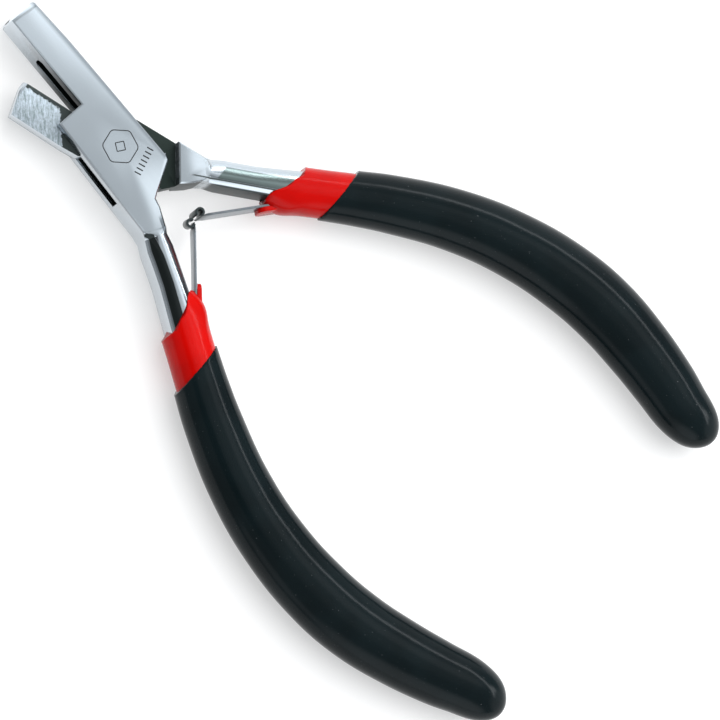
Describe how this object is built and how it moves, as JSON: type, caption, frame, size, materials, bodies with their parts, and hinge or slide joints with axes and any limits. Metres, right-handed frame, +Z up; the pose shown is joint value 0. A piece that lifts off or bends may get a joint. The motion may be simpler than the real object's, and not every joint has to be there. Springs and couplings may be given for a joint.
{
  "type": "crimping pliers",
  "caption": "Small box-joint crimping pliers with a slotted jaw, a thin blade jaw, leaf return springs and dipped two-layer grips.",
  "frame": {"origin": "on the pivot's axis, on the underside of the box joint", "axes": "+X along the tool to the jaw tips, +Z up along the pivot, +Y to the handle of the slotted outer half"},
  "size_m": [0.1323, 0.079, 0.0104],
  "materials": {
    "polished_steel": "satin polished",
    "ground_steel": "polished shank, coarse ground blade",
    "spring_steel": "bright drawn",
    "red_dip": "glossy dip coat",
    "black_dip": "glossy dip coat"
  },
  "bodies": {
    "outer": {"outer_half": "polished_steel", "joint_pin": "polished_steel", "leaf_spring_outer": "spring_steel", "spring_rivet_outer": "spring_steel", "red_sleeve_outer": "red_dip", "grip_outer": "black_dip"},
    "inner": {"inner_half": "ground_steel", "leaf_spring_inner": "spring_steel", "spring_rivet_inner": "spring_steel", "red_sleeve_inner": "red_dip", "grip_inner": "black_dip"}
  },
  "joints": [
    {"name": "main_pivot", "type": "hinge", "parent": "outer", "child": "inner", "pos_m": [0, 0, 0], "axis": [0, 0, 1], "range_deg": [-20.5, 0], "stiffness_Nm_per_rad": 1.1, "deforming": ["leaf_spring_outer", "leaf_spring_inner"]}
  ]
}
